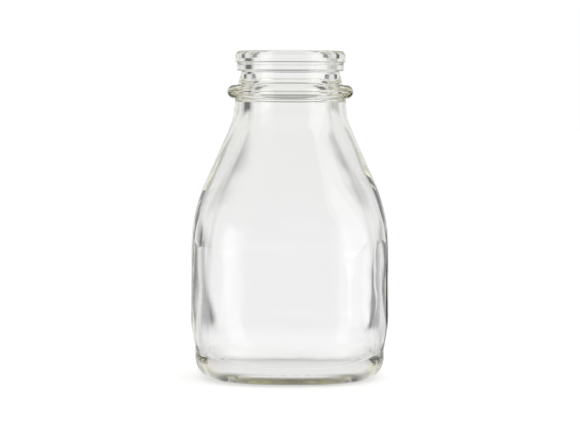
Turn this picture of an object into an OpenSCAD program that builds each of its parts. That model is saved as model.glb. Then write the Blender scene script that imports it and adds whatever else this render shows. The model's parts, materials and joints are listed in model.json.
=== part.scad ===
// Glass milk bottle: a round snap-cap finish on a softly squared body, moulded in one piece of clear glass.
// The resting face lies on z = 0 and the bottle's axis is the Z axis.

/* [Overall] */
// Height from the resting face to the top of the rim
bottle_h = 142.2; // [134:0.2:160]
// Width of the body across its sides, at the belly
body_w = 86.8; // [80:0.2:98]
// Width across the upright band at the heel
heel_w = 83; // [76:0.2:88]
// Outer diameter of the neck, below the bead
neck_d = 48.6; // [46:0.2:51]

/* [Body] */
// Radius of the four upright corners at the belly
corner_r = 36; // [16:0.5:39]
// Radius of the slight crown on each of the four sides
crown_r = 88; // [52:0.5:300]
// Radius of the heel, where the sides turn under
heel_r = 9.2; // [4:0.2:10]
// Height of the upright band at the heel
heel_band_h = 12.6; // [11:0.2:18]
// Height at which the belly reaches its full width
belly_low = 27.8; // [21:0.2:40]
// Height at which the belly starts to draw in
belly_high = 55.8; // [44:0.2:64]
// Lean of the shoulder's straight stretch from upright, in degrees
shoulder_lean = 24.2; // [20:0.1:30]
// Radius of the sweep from the shoulder up into the neck
neck_sweep_r = 26.6; // [10:0.2:50]
// Height of the upright neck, between the sweep and the parting line
neck_h = 1.7; // [0.4:0.1:6]

/* [Glass] */
// Thickness of the side walls at the belly and the heel
side_wall = 3.8; // [3:0.1:7]
// Thickness of the base beside the heel
base_wall = 5; // [4.6:0.1:9]
// Radius of the inside corner between the walls and the floor
inner_heel_r = 8; // [4:0.2:14]
// Height by which the floor rises towards its middle
floor_rise = 2; // [0.5:0.1:4]
// Height of the push-up under the base
push_up_h = 3; // [1:0.1:4]
// Width of the ring that the bottle rests on
bearing_w = 3; // [1.5:0.1:6]

/* [Finish] */
// Diameter of the mouth's bore
bore_d = 34.6; // [33:0.1:38]
// Outer diameter of the lip, for a 48 mm snap cap
lip_d = 48; // [47:0.1:50]
// Height of the lip
lip_h = 5; // [4:0.1:7]
// Radius of the lip's outer edge at the rim
lip_edge_r = 2.2; // [0.6:0.1:2.8]
// Radius of the mouth's inner edge at the rim
mouth_edge_r = 2; // [0.4:0.1:2.6]
// Outer diameter of the ring under the lip, which a cap snaps over
snap_ring_d = 46.7; // [45:0.1:47]
// Height of the snap ring
snap_ring_h = 3.7; // [2.5:0.1:5]
// Diameter of the groove under the snap ring
groove_top_d = 43; // [41.5:0.1:44.4]
// Diameter of the groove at its foot, where it meets the bead
groove_foot_d = 45.4; // [43:0.1:47]
// Height of the groove between the snap ring and the bead
groove_h = 6.1; // [4:0.1:9]
// Outer diameter of the bead
bead_d = 55; // [53:0.1:60]
// Radius of the bead's round section
bead_r = 3; // [2.4:0.1:4]
// Ledge of the finish mould over the neck, outside at the parting line
outer_ledge = 0.4; // [0.2:0.05:0.8]
// Ledge of the plunger over the blown neck, inside at the parting line
inner_ledge = 0.5; // [0.15:0.05:0.8]

/* [Hidden] */
glass_colour = "#DDE5DF";
body_half = body_w / 2;
heel_half = heel_w / 2;
neck_r = neck_d / 2;
bore_r = bore_d / 2;
lip_r = lip_d / 2;
lip_z = bottle_h - lip_h;
snap_ring_z = lip_z - snap_ring_h;
bead_mid_r = bead_d / 2 - bead_r;
bead_z = snap_ring_z - groove_h - bead_r;
// The parting line lies at the bead's underside, where its section is one ledge wider than the neck.
seam_reach = max(0, neck_r + outer_ledge - bead_mid_r);
seam_z = bead_z - sqrt(bead_r ^ 2 - seam_reach ^ 2);
neck_foot_z = seam_z - neck_h;
// Two arcs and the straight stretch between them fill the rise and run from the belly to the neck.
shoulder_rise = neck_foot_z - belly_high;
shoulder_run = body_half - neck_r;
arcs_r = (shoulder_rise - shoulder_run / tan(shoulder_lean)) / tan(shoulder_lean / 2);
shoulder_r = arcs_r - neck_sweep_r;
corner_share = corner_r / body_half;
neck_wall = neck_r - bore_r - inner_ledge;
// Facets round the body, a multiple of four, and rings along each stretch of its wall
around = 64;
arc_rings = 6;
lean_rings = 5;
heel_rings = 5;
bulge_rings = 4;
dome_rings = 4;
// Facets of the finish, which is round
$fn = 128;

function smooth(t) = t * t * (3 - 2 * t);
function mix(a, b, t) = a + (b - a) * t;

// How square the body is at height z: 1 up to the belly's top, 0 where it meets the round neck.
function squareness(z) = 1 - smooth(min(1, max(0, (z - belly_high) / shoulder_rise)));

// Point of a rounded square of half-width w, at the angle of its outward normal within one quarter turn.
// Sides are arcs of radius side, corners are arcs of radius corner, and each runs tangent into the next.
function quarter_point(w, side, corner, angle) =
    let (
        offset = side - w,
        centre = (sqrt(2 * (side - corner) ^ 2 - offset ^ 2) - offset) / 2,
        side_turn = atan2(centre, centre + offset)
    )
    angle < side_turn ? [side * cos(angle) - offset, side * sin(angle)] :
    angle > 90 - side_turn ? [side * cos(angle), side * sin(angle) - offset] :
    [centre + corner * cos(angle), centre + corner * sin(angle)];

// Section of half-width w and squareness s, drawn in by inset along its normals and set at height z.
function section(w, s, inset, z) =
    let (
        side = 1 / mix(1 / w, 1 / crown_r, s),
        corner = w * mix(1, corner_share, s)
    )
    [for (i = [0:around - 1])
        let (
            turn = 360 * i / around,
            quarter = floor(turn / 90) * 90,
            p = quarter_point(w, side, corner, turn - quarter),
            x = p[0] * cos(quarter) - p[1] * sin(quarter),
            y = p[0] * sin(quarter) + p[1] * cos(quarter)
        )
        [x - inset * cos(turn), y - inset * sin(turn), z]];

// Rings from the section's middle out to its edge, domed up by rise in the middle.
function dome(w, inset, z, rise) =
    let (rim = section(w, 1, inset, 0))
    [for (i = [1:dome_rings])
        let (share = i / dome_rings)
        [for (p = rim) [p[0] * share, p[1] * share, z + rise * (1 - share ^ 2)]]];

// Half-width of the outside between the heel and the belly's foot
function bulge_half(z) =
    let (left = max(0, min(1, (belly_low - z) / (belly_low - heel_band_h))))
    mix(body_half, heel_half, left ^ 2);

// Stations of the wall from the belly's top to the parting line: half-width, height, lean of the wall
shoulder_arc = [for (i = [0:arc_rings])
    let (lean = shoulder_lean * i / arc_rings)
    [body_half - shoulder_r * (1 - cos(lean)), belly_high + shoulder_r * sin(lean), lean]];
neck_arc = [for (i = [0:arc_rings])
    let (lean = shoulder_lean * (1 - i / arc_rings))
    [neck_r + neck_sweep_r * (1 - cos(lean)), neck_foot_z - neck_sweep_r * sin(lean), lean]];
straight = [for (i = [1:lean_rings - 1])
    let (t = i / lean_rings)
    mix(shoulder_arc[arc_rings], neck_arc[0], t)];
upper_wall = concat(shoulder_arc, straight, neck_arc, [[neck_r, seam_z, 0]]);

// Thickness of the wall at height z, where the plunger and the bore set it at the neck
function wall_at(z) = mix(neck_wall, side_wall, squareness(z));

outer_rings = concat(
    dome(heel_half, heel_r + bearing_w, 0, push_up_h),
    [for (i = [0:heel_rings])
        let (turn = 90 * i / heel_rings)
        section(heel_half, 1, heel_r * (1 - sin(turn)), heel_r * (1 - cos(turn)))],
    [for (i = [0:bulge_rings])
        let (z = mix(heel_band_h, belly_low, i / bulge_rings))
        section(bulge_half(z), 1, 0, z)],
    [for (s = upper_wall) section(s[0], squareness(s[1]), 0, s[1])]
);

// The inside, from the parting line down to the floor's middle
inner_heel_z = base_wall + inner_heel_r;
inner_rings = concat(
    [for (i = [len(upper_wall) - 1:-1:0])
        let (s = upper_wall[i], wall = wall_at(s[1]))
        section(s[0], squareness(s[1]), wall * cos(s[2]), s[1] - wall * sin(s[2]))],
    [for (i = [bulge_rings:-1:1])
        let (z = mix(inner_heel_z, belly_low, i / bulge_rings))
        section(bulge_half(z), 1, side_wall, z)],
    [for (i = [0:heel_rings])
        let (turn = 90 * i / heel_rings)
        section(bulge_half(inner_heel_z), 1, side_wall + inner_heel_r * (1 - cos(turn)),
            inner_heel_z - inner_heel_r * sin(turn))],
    [for (i = [dome_rings - 1:-1:1])
        dome(bulge_half(inner_heel_z), side_wall + inner_heel_r, base_wall, floor_rise)[i - 1]]
);

// Skins a stack of rings into a closed shell, with a point at the middle of the first and last ring.
module skin(rings, first, last) {
    count = len(rings);
    points = concat([for (ring = rings) each ring], [first, last]);
    faces = concat(
        [for (j = [0:around - 1]) [count * around, j, (j + 1) % around]],
        [for (i = [0:count - 2], j = [0:around - 1])
            let (a = i * around + j, b = i * around + (j + 1) % around)
            each [[a, b + around, b], [a, a + around, b + around]]],
        [for (j = [0:around - 1])
            let (a = (count - 1) * around)
            [a + j, count * around + 1, a + (j + 1) % around]]
    );
    polyhedron(points, faces, convexity = 6);
}

module blown_body() {
    skin(
        concat(outer_rings, inner_rings),
        [0, 0, push_up_h],
        [0, 0, base_wall + floor_rise]
    );
}

// The lip, square below and rounded over at the rim
module lip_section() {
    inner_x = bore_r + mouth_edge_r;
    outer_x = lip_r - lip_edge_r;
    translate([bore_r, lip_z]) square([mouth_edge_r, lip_h - mouth_edge_r]);
    translate([inner_x, lip_z]) square([outer_x - inner_x, lip_h]);
    translate([outer_x, lip_z]) square([lip_edge_r, lip_h - lip_edge_r]);
    translate([inner_x, bottle_h - mouth_edge_r]) circle(mouth_edge_r);
    translate([outer_x, bottle_h - lip_edge_r]) circle(lip_edge_r);
}

// Everything above the parting line: lip, snap ring, tapered groove and bead
module finish_section() {
    lip_section();
    translate([bore_r, snap_ring_z]) square([snap_ring_d / 2 - bore_r, snap_ring_h]);
    polygon([
        [bore_r, seam_z],
        [neck_r, seam_z],
        [bead_mid_r, bead_z],
        [bead_mid_r, bead_z + bead_r],
        [groove_foot_d / 2, bead_z + bead_r],
        [groove_top_d / 2, snap_ring_z],
        [bore_r, snap_ring_z]
    ]);
    intersection() {
        translate([bead_mid_r, bead_z]) circle(bead_r);
        translate([bore_r, seam_z]) square([bead_d / 2, 2 * bead_r]);
    }
}

module bottle() {
    color(glass_colour) {
        blown_body();
        rotate_extrude() finish_section();
    }
}

bottle();
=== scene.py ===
import json
import math

import bmesh
import bpy
from mathutils import Matrix, Quaternion, Vector, noise


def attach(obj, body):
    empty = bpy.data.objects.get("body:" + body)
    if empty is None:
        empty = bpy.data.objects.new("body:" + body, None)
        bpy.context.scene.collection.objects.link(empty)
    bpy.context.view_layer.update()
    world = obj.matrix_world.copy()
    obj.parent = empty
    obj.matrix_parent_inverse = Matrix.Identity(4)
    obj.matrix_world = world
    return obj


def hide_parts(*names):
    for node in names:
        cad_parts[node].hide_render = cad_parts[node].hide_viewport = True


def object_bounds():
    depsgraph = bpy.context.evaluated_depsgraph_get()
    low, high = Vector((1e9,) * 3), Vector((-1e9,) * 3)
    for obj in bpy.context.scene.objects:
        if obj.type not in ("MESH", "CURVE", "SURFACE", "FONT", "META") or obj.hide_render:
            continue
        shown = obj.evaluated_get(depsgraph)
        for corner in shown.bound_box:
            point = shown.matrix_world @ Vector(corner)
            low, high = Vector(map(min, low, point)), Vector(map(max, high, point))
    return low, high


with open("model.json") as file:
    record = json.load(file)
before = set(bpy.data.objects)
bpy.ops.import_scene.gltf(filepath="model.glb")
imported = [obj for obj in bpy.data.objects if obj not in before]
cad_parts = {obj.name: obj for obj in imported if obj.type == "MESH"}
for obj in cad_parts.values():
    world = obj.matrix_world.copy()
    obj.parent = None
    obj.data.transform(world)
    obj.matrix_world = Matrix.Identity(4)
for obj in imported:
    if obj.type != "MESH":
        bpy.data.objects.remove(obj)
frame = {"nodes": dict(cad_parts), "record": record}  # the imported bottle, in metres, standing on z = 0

cadLow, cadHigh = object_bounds()
mm = 0.001
mounts = {m["name"]: m for m in frame["record"]["mounts"]}
print("frame loaded:", sorted(frame["nodes"]))


# the bottle, in millimetres: what the frame doesn't hold are the part's own driving sizes
bottleSizes = {
    "height": cadHigh.z / mm,
    "bodyHalf": cadHigh.x / mm,
    "heelHalf": 41.5,
    "neckR": 24.3,
    "cornerR": 36.0,
    "crownR": 88.0,
    "heelR": 9.2,
    "heelBand": 12.6,
    "bellyLow": 27.8,
    "bellyHigh": 55.8,
    "lean": 24.2,  # degrees
    "neckSweep": 26.6,
    "neckH": 1.7,
    "sideWall": 3.8,
    "baseWall": 5.0,
    "innerHeelR": 8.0,
    "floorRise": 2.0,
    "pushUp": 3.0,
    "bearing": 3.0,
    "boreR": mounts["mouth_bore"]["dims"]["r_mm"],
    "lipR": mounts["lip_ring"]["dims"]["r_mm"],
    "lipH": 5.0,
    "lipEdge": 2.2,
    "mouthEdge": 2.0,
    "snapR": 23.35,
    "snapH": 3.7,
    "grooveTopR": 21.5,
    "grooveFootR": 22.7,
    "grooveH": 6.1,
    "beadR": 3.0,
    "beadReach": 27.5,
    "outerLedge": 0.4,
    "innerLedge": 0.5,
    # soft edges that hot glass takes, by radius
    "partingEdge": 0.25,
    "grooveFootEdge": 0.7,
    "grooveFootLift": 0.65,
    "grooveTopEdge": 0.5,
    "snapEdge": 0.6,
    "notchEdge": 0.2,
    "lipFootEdge": 0.35,
    "neckStop": 0.5,  # the wall's last ring, below the parting line
    "boreStop": 0.3,  # the bore's last ring, above it
    # rings along each stretch, and steps round the bottle in multiples of four
    "around": 368,
    "domeRings": 12,
    "bearingRings": 6,
    "heelRings": 12,
    "bulgeRings": 10,
    "bellyRings": 12,
    "shoulderRings": 16,
    "leanRings": 8,
    "sweepRings": 12,
    "boreRings": 8,
    "innerHeelRings": 14,
    # marks of the making
    "knurls": 92,  # small ridges round the ring that it stands on
    "knurlDeep": 0.3,
    "coreShift": 0.15,  # the cavity sits this far off centre, so one wall is thicker
    "coreWave": 0.2,  # unevenness of the blown inside
    "coreWaveLengths": (26, 12, 6),
    "coreWaveShares": (1.0, 0.5, 0.2),
    "coreFade": 22,  # height under the parting line over which the unevenness starts
    "skinWave": 0.05,  # ripple of the moulded outside
    "skinWaveLength": 17,
    "skinTop": 120.5,
    "skinFade": 8,
    "seamProud": 0.07,  # mould seam up two opposite sides
    "seamHalf": 0.5,
}


def smoothStep(t):
    t = min(1.0, max(0.0, t))
    return t * t * (3 - 2 * t)


def mix(a, b, t):
    return a + (b - a) * t


def squarePoint(half, side, corner, angle):
    # point of a softly squared outline, by the angle of its outward normal within one quarter
    offset = side - half
    centre = (math.sqrt(2 * (side - corner) ** 2 - offset**2) - offset) / 2
    turn = math.atan2(centre, centre + offset)
    c, s = math.cos(angle), math.sin(angle)
    if angle < turn:
        return side * c - offset, side * s
    if angle > math.pi / 2 - turn:
        return side * c, side * s - offset
    return centre + corner * c, centre + corner * s


def outlinePoint(b, half, square, inset, share, angle):
    # the same point at any angle, from a circle at square 0 to the body's section at 1, drawn in by inset
    side = 1 / mix(1 / half, 1 / b["crownR"], square)
    corner = half * mix(1, b["cornerR"] / b["bodyHalf"], square)
    quarter = math.floor(angle / (math.pi / 2) + 1e-9) * math.pi / 2
    x, y = squarePoint(half, side, corner, angle - quarter)
    c, s = math.cos(quarter), math.sin(quarter)
    x, y = x * c - y * s, x * s + y * c
    return (x - inset * math.cos(angle)) * share, (y - inset * math.sin(angle)) * share


def bottleProfile(b):
    # stations from under the base's middle, up the outside, over the lip and down to the floor's middle:
    # half-width, squareness, inset, share of the ring, height, how far it takes the blown unevenness
    lipZ = b["height"] - b["lipH"]
    snapZ = lipZ - b["snapH"]
    beadMid = b["beadReach"] - b["beadR"]
    beadZ = snapZ - b["grooveH"] - b["beadR"]
    reach = max(0.0, b["neckR"] + b["outerLedge"] - beadMid)
    seamZ = beadZ - math.sqrt(b["beadR"] ** 2 - reach**2)
    neckFoot = seamZ - b["neckH"]
    rise, run = neckFoot - b["bellyHigh"], b["bodyHalf"] - b["neckR"]
    lean = math.radians(b["lean"])
    shoulderR = (rise - run / math.tan(lean)) / math.tan(lean / 2) - b["neckSweep"]
    neckWall = b["neckR"] - b["boreR"] - b["innerLedge"]
    innerHeel = b["baseWall"] + b["innerHeelR"]

    def square(z):
        return 1 - smoothStep((z - b["bellyHigh"]) / rise)

    def bulge(z):
        left = min(1.0, max(0.0, (b["bellyLow"] - z) / (b["bellyLow"] - b["heelBand"])))
        return mix(b["bodyHalf"], b["heelHalf"], left**2)

    # the wall from the belly's top to the parting line: half-width, height, lean
    shoulder, sweep = [], []
    for i in range(b["shoulderRings"] + 1):
        turn = lean * i / b["shoulderRings"]
        half = b["bodyHalf"] - shoulderR * (1 - math.cos(turn))
        shoulder.append((half, b["bellyHigh"] + shoulderR * math.sin(turn), turn))
    for i in range(b["sweepRings"] + 1):
        turn = lean * (1 - i / b["sweepRings"])
        half = b["neckR"] + b["neckSweep"] * (1 - math.cos(turn))
        sweep.append((half, neckFoot - b["neckSweep"] * math.sin(turn), turn))
    straight = [
        tuple(mix(low, high, i / b["leanRings"]) for low, high in zip(shoulder[-1], sweep[0]))
        for i in range(1, b["leanRings"])
    ]
    wall = shoulder + straight + sweep + [(b["neckR"], seamZ - b["neckStop"], 0.0)]

    made = []

    def ring(half, z, squareness=0.0, inset=0.0, share=1.0, inside=0.0):
        made.append((half, squareness, inset, share, z, inside))

    def arc(x, z, r, start, end, steps):
        for i in range(steps + 1):
            a = math.radians(mix(start, end, i / steps))
            ring(x + r * math.cos(a), z + r * math.sin(a))

    # push-up, the ring that it stands on, the heel and the belly
    for i in range(b["domeRings"] + 1):
        share = i / b["domeRings"]
        ring(b["heelHalf"], b["pushUp"] * (1 - share**2), 1, b["heelR"] + b["bearing"], share)
    for i in range(1, b["bearingRings"]):
        ring(b["heelHalf"], 0, 1, b["heelR"] + b["bearing"] * (1 - i / b["bearingRings"]))
    for i in range(b["heelRings"] + 1):
        turn = math.radians(90 * i / b["heelRings"])
        ring(b["heelHalf"], b["heelR"] * (1 - math.cos(turn)), 1, b["heelR"] * (1 - math.sin(turn)))
    for i in range(b["bulgeRings"] + 1):
        z = mix(b["heelBand"], b["bellyLow"], i / b["bulgeRings"])
        ring(bulge(z), z, 1)
    for i in range(1, b["bellyRings"]):
        ring(b["bodyHalf"], mix(b["bellyLow"], b["bellyHigh"], i / b["bellyRings"]), 1)
    for half, z, turn in wall:
        ring(half, z, square(z))

    # parting ledge, bead, groove, snap ring and lip
    edge = b["partingEdge"]
    arc(b["neckR"] + edge, seamZ - edge, edge, 180, 90, 3)
    start = math.degrees(math.atan2(seamZ - beadZ, reach))
    arc(beadMid, beadZ, b["beadR"], start, 82, 24)
    edge = b["grooveFootEdge"]
    arc(b["grooveFootR"] + edge, beadZ + b["beadR"] + b["grooveFootLift"], edge, 262, 190, 5)
    edge = b["grooveTopEdge"]
    arc(b["grooveTopR"] + edge, snapZ - edge, edge, 170, 90, 5)
    edge = b["snapEdge"]
    arc(b["snapR"] - edge, snapZ + edge, edge, -90, 0, 6)
    ring(b["snapR"], mix(snapZ, lipZ, 0.5))
    edge = b["notchEdge"]
    arc(b["snapR"] + edge, lipZ - edge, edge, 180, 90, 3)
    edge = b["lipFootEdge"]
    arc(b["lipR"] - edge, lipZ + edge, edge, -90, 0, 5)
    edge = b["lipEdge"]
    ring(b["lipR"], mix(lipZ, b["height"] - edge, 0.5))
    arc(b["lipR"] - edge, b["height"] - edge, edge, 0, 90, 14)

    # the mouth and the bore, then the blown inside down to the floor
    edge = b["mouthEdge"]
    arc(b["boreR"] + edge, b["height"] - edge, edge, 90, 180, 10)
    for i in range(1, b["boreRings"]):
        ring(b["boreR"], mix(b["height"] - edge, seamZ, i / b["boreRings"]))
    ring(b["boreR"], seamZ + b["boreStop"])
    for half, z, turn in reversed(wall):
        s = square(z)
        thick = mix(neckWall, b["sideWall"], s)
        uneven = smoothStep((seamZ - z) / b["coreFade"])
        ring(half, z - thick * math.sin(turn), s, thick * math.cos(turn), 1, uneven)
    for i in range(1, b["bellyRings"]):
        z = mix(b["bellyHigh"], b["bellyLow"], i / b["bellyRings"])
        ring(b["bodyHalf"], z, 1, b["sideWall"], 1, 1)
    for i in range(b["bulgeRings"] + 1):
        z = mix(b["bellyLow"], innerHeel, i / b["bulgeRings"])
        ring(bulge(z), z, 1, b["sideWall"], 1, 1)
    for i in range(1, b["innerHeelRings"] + 1):
        turn = math.radians(90 * i / b["innerHeelRings"])
        z = innerHeel - b["innerHeelR"] * math.sin(turn)
        ring(bulge(innerHeel), z, 1, b["sideWall"] + b["innerHeelR"] * (1 - math.cos(turn)), 1, 1)
    for i in reversed(range(b["domeRings"])):
        share = i / b["domeRings"]
        z = b["baseWall"] + b["floorRise"] * (1 - share**2)
        ring(bulge(innerHeel), z, 1, b["sideWall"] + b["innerHeelR"], share, 1)
    return made


def makeBottle(b):
    bm = bmesh.new()
    layers = [bm.verts.layers.float.new(name) for name in ("half", "square", "inset", "share", "inside")]
    last = None
    for half, square, inset, share, z, inside in bottleProfile(b):
        v = bm.verts.new(((half - inset) * share, 0, z))
        for layer, value in zip(layers, (half, square, inset, share, inside)):
            v[layer] = value
        if last:
            bm.edges.new((last, v))
        last = v

    # a quarter turn, mirrored twice, is far quicker than a full spin
    bmesh.ops.spin(
        bm, geom=bm.verts[:] + bm.edges[:], cent=(0, 0, 0), axis=(0, 0, 1), dvec=(0, 0, 0),
        angle=math.pi / 2, steps=b["around"] // 4, use_merge=False, use_duplicate=False,
    )
    for axis in ("X", "Y"):
        whole = bm.verts[:] + bm.edges[:] + bm.faces[:]
        bmesh.ops.mirror(bm, geom=whole, matrix=Matrix.Identity(4), merge_dist=1e-4, axis=axis)
    bmesh.ops.remove_doubles(bm, verts=bm.verts[:], dist=1e-4)

    # each ring takes its squared outline, then the marks of the making
    coreSeed, skinSeed = Vector((3.1, 0.7, 5.2)), Vector((9.3, 2.2, 0.4))
    longWave, midWave, shortWave = b["coreWaveLengths"]
    longShare, midShare, shortShare = b["coreWaveShares"]
    skinLow = b["heelR"] * 0.5
    for v in bm.verts:
        half, square, inset, share, inside = (v[layer] for layer in layers)
        if share < 1e-6:  # the middles of the base and the floor
            continue
        angle = math.atan2(v.co.y, v.co.x) % (2 * math.pi)
        if square > 0:
            v.co.x, v.co.y = outlinePoint(b, half, square, inset, share, angle)
        out = Vector((math.cos(angle), math.sin(angle), 0))
        if inside:  # the blown inside: off centre, and uneven
            wave = longShare * noise.noise(v.co / longWave + coreSeed)
            wave += midShare * noise.noise(v.co / midWave)
            wave += shortShare * noise.noise(v.co / shortWave)
            v.co += out * (wave * b["coreWave"] * inside * share)
            v.co.x += b["coreShift"] * inside * share
        elif skinLow < v.co.z < b["skinTop"]:  # the moulded outside: a slight ripple, never past the mould
            fade = smoothStep((v.co.z - skinLow) / b["skinFade"])
            fade *= smoothStep((b["skinTop"] - v.co.z) / b["skinFade"])
            wave = 0.5 + 0.5 * noise.noise(v.co / b["skinWaveLength"] + skinSeed)
            seam = math.exp(-((v.co.y / b["seamHalf"]) ** 2))
            v.co -= out * fade * (b["seamProud"] * (1 - seam) + b["skinWave"] * wave)
        elif v.co.z < 0.02 and share > 0.99:  # the knurled standing ring
            middle = 1 - ((inset - b["heelR"]) / b["bearing"] * 2 - 1) ** 2
            v.co.z += b["knurlDeep"] * max(0.0, middle) * (0.5 - 0.5 * math.cos(angle * b["knurls"]))

    bmesh.ops.recalc_face_normals(bm, faces=bm.faces[:])
    bmesh.ops.scale(bm, vec=(mm, mm, mm), verts=bm.verts[:])
    for f in bm.faces:
        f.smooth = True
    mesh = bpy.data.meshes.new("glassBottle")
    bm.to_mesh(mesh)
    bm.free()
    made = bpy.data.objects.new("glassBottle", mesh)
    bpy.context.scene.collection.objects.link(made)
    return made


bottle = makeBottle(bottleSizes)
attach(bottle, "root")
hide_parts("bottle")
print("bottle made:", len(bottle.data.polygons), "faces")


def linearColour(text):
    # sRGB hex to linear
    parts = [int(text[i : i + 2], 16) / 255 for i in (1, 3, 5)]
    return tuple(c / 12.92 if c <= 0.04045 else ((c + 0.055) / 1.055) ** 2.4 for c in parts) + (1.0,)


def addNode(tree, kind, links=(), **settings):
    # adds a node, sets its properties and its sockets (i1 is socket 1), and links what feeds it
    node = tree.nodes.new(kind)
    for key, value in settings.items():
        if key in node.bl_rna.properties:
            setattr(node, key, value)
        else:
            socket = int(key[1:]) if key[0] == "i" and key[1:].isdigit() else key.replace("_", " ")
            node.inputs[socket].default_value = value
    for source, target in links:
        tree.links.new(source, node.inputs[target])
    return node


glassLook = {
    "clear": "#FFFFFF",
    "depthColour": "#DAD79D",  # olive of iron in the glass, seen where it is thick
    "depthDensity": 10.0,
    "ior": 1.52,
    "rippleMm": 9.0,
    "rippleDeepMm": 0.02,
}


def makeGlass(look):
    # soda-lime glass, blown in a polished iron mould: clear and glossy, faintly rippled, olive through its thick parts
    mat = bpy.data.materials.new("sodaLimeGlassMouldBlown")
    mat.use_nodes = True
    tree = mat.node_tree
    tree.nodes.clear()
    out = addNode(tree, "ShaderNodeOutputMaterial")
    place = addNode(tree, "ShaderNodeTexCoord")
    ripple = addNode(
        tree, "ShaderNodeTexNoise", [(place.outputs["Object"], "Vector")],
        Scale=1 / (look["rippleMm"] * mm), Detail=1.0, Roughness=0.4,
    )
    bump = addNode(
        tree, "ShaderNodeBump", [(ripple.outputs["Fac"], "Height")],
        Strength=1.0, Distance=look["rippleDeepMm"] * mm,
    )
    glass = addNode(
        tree, "ShaderNodeBsdfPrincipled", [(bump.outputs["Normal"], "Normal")],
        Base_Color=linearColour(look["clear"]), Roughness=0.0, IOR=look["ior"], Transmission_Weight=1.0,
    )
    depth = addNode(
        tree, "ShaderNodeVolumeAbsorption",
        Color=linearColour(look["depthColour"]), Density=look["depthDensity"],
    )
    tree.links.new(glass.outputs[0], out.inputs["Surface"])
    tree.links.new(depth.outputs[0], out.inputs["Volume"])
    return mat


bottle.data.materials.append(makeGlass(glassLook))
print("materials made")


# what clear glass shows is what stands round it: pale and dark cards, seen only by glossy and transmitted rays,
# as levels by degrees from straight behind the bottle, positive to the right
studio = {
    "panelColour": "#FCFCFF",
    "cards": (  # up to about 7 degrees above level
        (-125, 0.92), (-80, 0.75), (-70, 0.1), (-44, 0.1), (-36, 0.62), (-24, 0.92),
        (24, 0.92), (33, 0.54), (60, 0.54), (72, 0.85),
    ),
    "roof": (  # above them
        (-150, 0.68), (-110, 0.9), (-60, 0.86), (-25, 0.88), (-13, 0.36),
        (13, 0.36), (25, 0.88), (110, 0.88), (150, 0.68),
    ),
    "cardsTop": 0.07,  # height of a direction's tip on a ball of radius 1: the cards blend into the roof
    "roofFoot": 0.18,
    "roofDim": 0.8,  # from this height the roof dims
    "zenith": 0.2,  # share of the roof's level that is left straight above
    "near": (  # the floor close to the bottle, painted for glass rays with a reflection of the cards, darker at its sides
        (-138, 0.86), (-118, 0.68), (-80, 0.72), (-62, 0.72), (-44, 0.86), (-32, 0.985),
        (32, 0.985), (45, 0.82), (55, 0.68), (72, 0.66), (85, 0.74), (100, 0.82), (140, 0.86),
    ),
    "far": (  # the floor further away, painted for glass rays with a reflection of the cards and lamps
        (-142, 0.75), (-124, 0.9), (-122, 1.38), (-99, 1.38), (-97, 0.85), (-76, 0.7),
        (-66, 0.45), (-58, 0.8), (-43, 0.86), (-33, 0.16), (-23, 0.16), (-18, 0.935),
        (18, 0.935), (21, 0.05), (33, 0.05), (42, 0.86), (58, 0.8), (66, 0.45),
        (74, 0.8), (81, 0.85), (83, 1.5), (121, 1.5), (124, 0.9), (142, 0.75),
    ),
    "farMost": 2.0,  # a ramp holds 0 to 1, so these levels are divided by this and multiplied again
    "under": 0.87,  # level straight under the bottle
    "footFrom": 0.03,  # metres, where that level ends
    "footFull": 0.05,
    "cardsFrom": 0.15,  # metres, where the near floor turns into the far floor
    "cardsFull": 0.24,
    "fill": 0.85,  # light of the room on all that isn't glass
    "floorColour": "#EFEFEC",
    "floorGlow": 0.42,
    "floorR": 6.0,
    "floorDrop": 0.0001,
}


def addCards(tree, way, stops, most=1.0):
    # the level that a glass ray sees, by its direction round the bottle
    turn = addNode(
        tree, "ShaderNodeMath", [(way.outputs["X"], 0), (way.outputs["Y"], 1)], operation="ARCTAN2",
    )
    share = addNode(
        tree, "ShaderNodeMapRange", [(turn.outputs[0], "Value")], From_Min=-math.pi, From_Max=math.pi,
    )
    ramp = addNode(tree, "ShaderNodeValToRGB", [(share.outputs[0], 0)])
    for i, (degrees, level) in enumerate(stops):
        at = (degrees + 180) / 360
        stop = ramp.color_ramp.elements[i] if i < 2 else ramp.color_ramp.elements.new(at)
        stop.position = at
        stop.color = (level / most, level / most, level / most, 1)
    return addNode(tree, "ShaderNodeMath", [(ramp.outputs["Color"], 0)], operation="MULTIPLY", i1=most)


def addBlend(tree, value, start, end, first, second):
    # softly from first to second, as value goes from start to end; first may be a plain number
    share = addNode(
        tree, "ShaderNodeMapRange", [(value, "Value")],
        interpolation_type="SMOOTHSTEP", From_Min=start, From_Max=end,
    )
    blend = addNode(tree, "ShaderNodeMix", [(share.outputs[0], 0), (second, 3)])
    if isinstance(first, float):
        blend.inputs[2].default_value = first
    else:
        tree.links.new(first, blend.inputs[2])
    return blend.outputs[0]


def addGlassRays(tree, path):
    # 1 for the rays that glass sends out, 0 for the rest
    return addNode(
        tree, "ShaderNodeMath",
        [(path.outputs["Is Glossy Ray"], 0), (path.outputs["Is Transmission Ray"], 1)],
        operation="ADD", use_clamp=True,
    )


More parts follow.
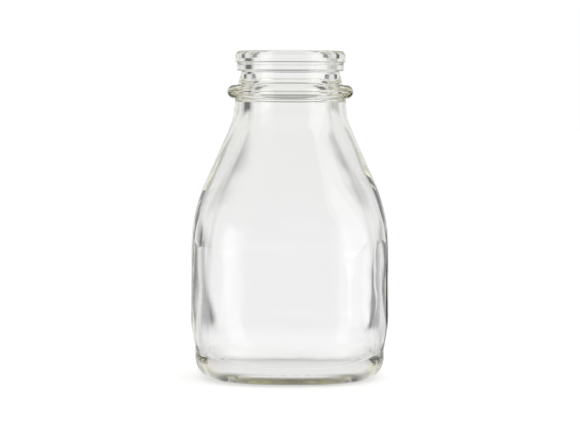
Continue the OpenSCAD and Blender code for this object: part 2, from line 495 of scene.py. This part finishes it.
def makeFloor(s):
    bm = bmesh.new()
    bmesh.ops.create_circle(bm, cap_ends=True, segments=96, radius=s["floorR"])
    bmesh.ops.translate(bm, vec=(0, 0, -s["floorDrop"]), verts=bm.verts[:])
    mesh = bpy.data.meshes.new("floor")
    bm.to_mesh(mesh)
    bm.free()
    floor = bpy.data.objects.new("floor", mesh)
    bpy.context.scene.collection.objects.link(floor)

    # uncoated paper, rolled out flat: pale, matt and even to the camera, so that only the bottle's shadow shows on it;
    # to glass rays it is an emission painted with a reflection of the cards and lamps, by direction round the bottle
    mat = bpy.data.materials.new("mattPaperWithPaintedReflection")
    mat.use_nodes = True
    tree = mat.node_tree
    tree.nodes.clear()
    out = addNode(tree, "ShaderNodeOutputMaterial")
    path = addNode(tree, "ShaderNodeLightPath")
    place = addNode(tree, "ShaderNodeTexCoord").outputs["Object"]
    way = addNode(tree, "ShaderNodeSeparateXYZ", [(place, 0)])
    near = addCards(tree, way, s["near"]).outputs[0]
    far = addCards(tree, way, s["far"], s["farMost"]).outputs[0]
    length = addNode(tree, "ShaderNodeVectorMath", [(place, 0)], operation="LENGTH").outputs["Value"]
    close = addBlend(tree, length, s["footFrom"], s["footFull"], s["under"], near)
    seen = addBlend(tree, length, s["cardsFrom"], s["cardsFull"], close, far)
    # painted reflection of the cards and lamps, given off as light that only glass rays see on the matt paper
    mirror = addNode(tree, "ShaderNodeEmission", [(seen, "Strength")], Color=linearColour(s["panelColour"]))
    strength = addNode(
        tree, "ShaderNodeMath", [(path.outputs["Is Camera Ray"], 0)], operation="MULTIPLY", i1=s["floorGlow"],
    )
    glow = addNode(tree, "ShaderNodeEmission", [(strength.outputs[0], "Strength")], Color=(1, 1, 1, 1))
    paper = addNode(
        tree, "ShaderNodeBsdfPrincipled", Base_Color=linearColour(s["floorColour"]), Roughness=0.9,
    )
    lit = addNode(tree, "ShaderNodeAddShader", [(paper.outputs[0], 0), (glow.outputs[0], 1)])
    glassy = addGlassRays(tree, path)
    both = addNode(
        tree, "ShaderNodeMixShader", [(glassy.outputs[0], 0), (lit.outputs[0], 1), (mirror.outputs[0], 2)],
    )
    tree.links.new(both.outputs[0], out.inputs["Surface"])
    floor.data.materials.append(mat)


def makeWorld(s):
    # the room: plain white to the camera, an even fill to matt things, and the cards to glass
    world = bpy.data.worlds.new("paleStudio")
    bpy.context.scene.world = world
    world.use_nodes = True
    tree = world.node_tree
    tree.nodes.clear()
    out = addNode(tree, "ShaderNodeOutputWorld")
    path = addNode(tree, "ShaderNodeLightPath")
    place = addNode(tree, "ShaderNodeTexCoord").outputs["Generated"]
    way = addNode(tree, "ShaderNodeSeparateXYZ", [(place, 0)])
    cards = addCards(tree, way, s["cards"]).outputs[0]
    high = addCards(tree, way, s["roof"]).outputs[0]
    dim = addNode(
        tree, "ShaderNodeMapRange", [(way.outputs["Z"], "Value")],
        From_Min=s["roofDim"], From_Max=1.0, To_Min=1.0, To_Max=s["zenith"],
    )
    roof = addNode(tree, "ShaderNodeMath", [(high, 0), (dim.outputs[0], 1)], operation="MULTIPLY").outputs[0]
    level = addBlend(tree, way.outputs["Z"], s["cardsTop"], s["roofFoot"], cards, roof)
    shown = addNode(tree, "ShaderNodeBackground", [(level, "Strength")], Color=linearColour(s["panelColour"]))
    fill = addNode(tree, "ShaderNodeBackground", Color=(1, 1, 1, 1), Strength=s["fill"])
    white = addNode(tree, "ShaderNodeBackground", Color=(1, 1, 1, 1), Strength=1.0)
    glassy = addGlassRays(tree, path)
    lit = addNode(
        tree, "ShaderNodeMixShader", [(glassy.outputs[0], 0), (fill.outputs[0], 1), (shown.outputs[0], 2)],
    )
    both = addNode(
        tree, "ShaderNodeMixShader",
        [(path.outputs["Is Camera Ray"], 0), (lit.outputs[0], 1), (white.outputs[0], 2)],
    )
    tree.links.new(both.outputs[0], out.inputs["Surface"])


# metres; azimuth in degrees from the camera's side, positive to the right, and lean in degrees about its own middle
softboxes = {
    "softboxLeft": {"azimuth": -69, "low": 0.0, "high": 0.34, "wide": 0.38, "away": 0.9, "level": 0.6, "lean": 0},
    "softboxRight": {"azimuth": 68, "low": 0.02, "high": 1.1, "wide": 0.6, "away": 0.9, "level": 0.9, "lean": 18},
}


def addSoftbox(name, box):
    # a square lamp that faces the bottle's axis; level is its radiance
    a = math.radians(box["azimuth"])
    tall = box["high"] - box["low"]
    facing = Vector((math.sin(a), -math.cos(a), 0))
    data = bpy.data.lights.new(name, "AREA")
    data.shape = "RECTANGLE"
    data.size, data.size_y = box["wide"], tall
    data.energy = box["level"] * math.pi * box["wide"] * tall
    lamp = bpy.data.objects.new(name, data)
    lamp.location = facing * box["away"] + Vector((0, 0, (box["low"] + box["high"]) / 2))
    lamp.rotation_mode = "QUATERNION"
    lean = Quaternion((0, 0, 1), math.radians(box["lean"]))
    lamp.rotation_quaternion = facing.to_track_quat("Z", "Y") @ lean
    lamp.visible_camera = False
    bpy.context.scene.collection.objects.link(lamp)


makeFloor(studio)
makeWorld(studio)
for name, box in softboxes.items():
    addSoftbox(name, box)
print("studio made")


view = {  # metres, degrees and pixels
    "back": 0.970,
    "high": 0.1248,
    "down": 3.26,
    "roll": 0.0030,  # radians
    "focalPx": 2221.0,
    "imageWide": 580,
    "bounces": 20,  # light runs far inside the thick base, which turns black with too few
}


def makeCamera(v):
    data = bpy.data.cameras.new("camera")
    data.sensor_width = 36.0
    data.lens = v["focalPx"] * data.sensor_width / v["imageWide"]
    data.clip_start = 0.05
    cam = bpy.data.objects.new("camera", data)
    cam.location = (0, -v["back"], v["high"])
    cam.rotation_mode = "ZYX"
    cam.rotation_euler = (math.radians(90 - v["down"]), 0, v["roll"])
    bpy.context.scene.collection.objects.link(cam)
    bpy.context.scene.camera = cam


makeCamera(view)
bpy.context.scene.view_settings.view_transform = "Standard"
for kind in ("max_bounces", "transmission_bounces", "glossy_bounces"):
    setattr(bpy.context.scene.cycles, kind, view["bounces"])
print("camera made")
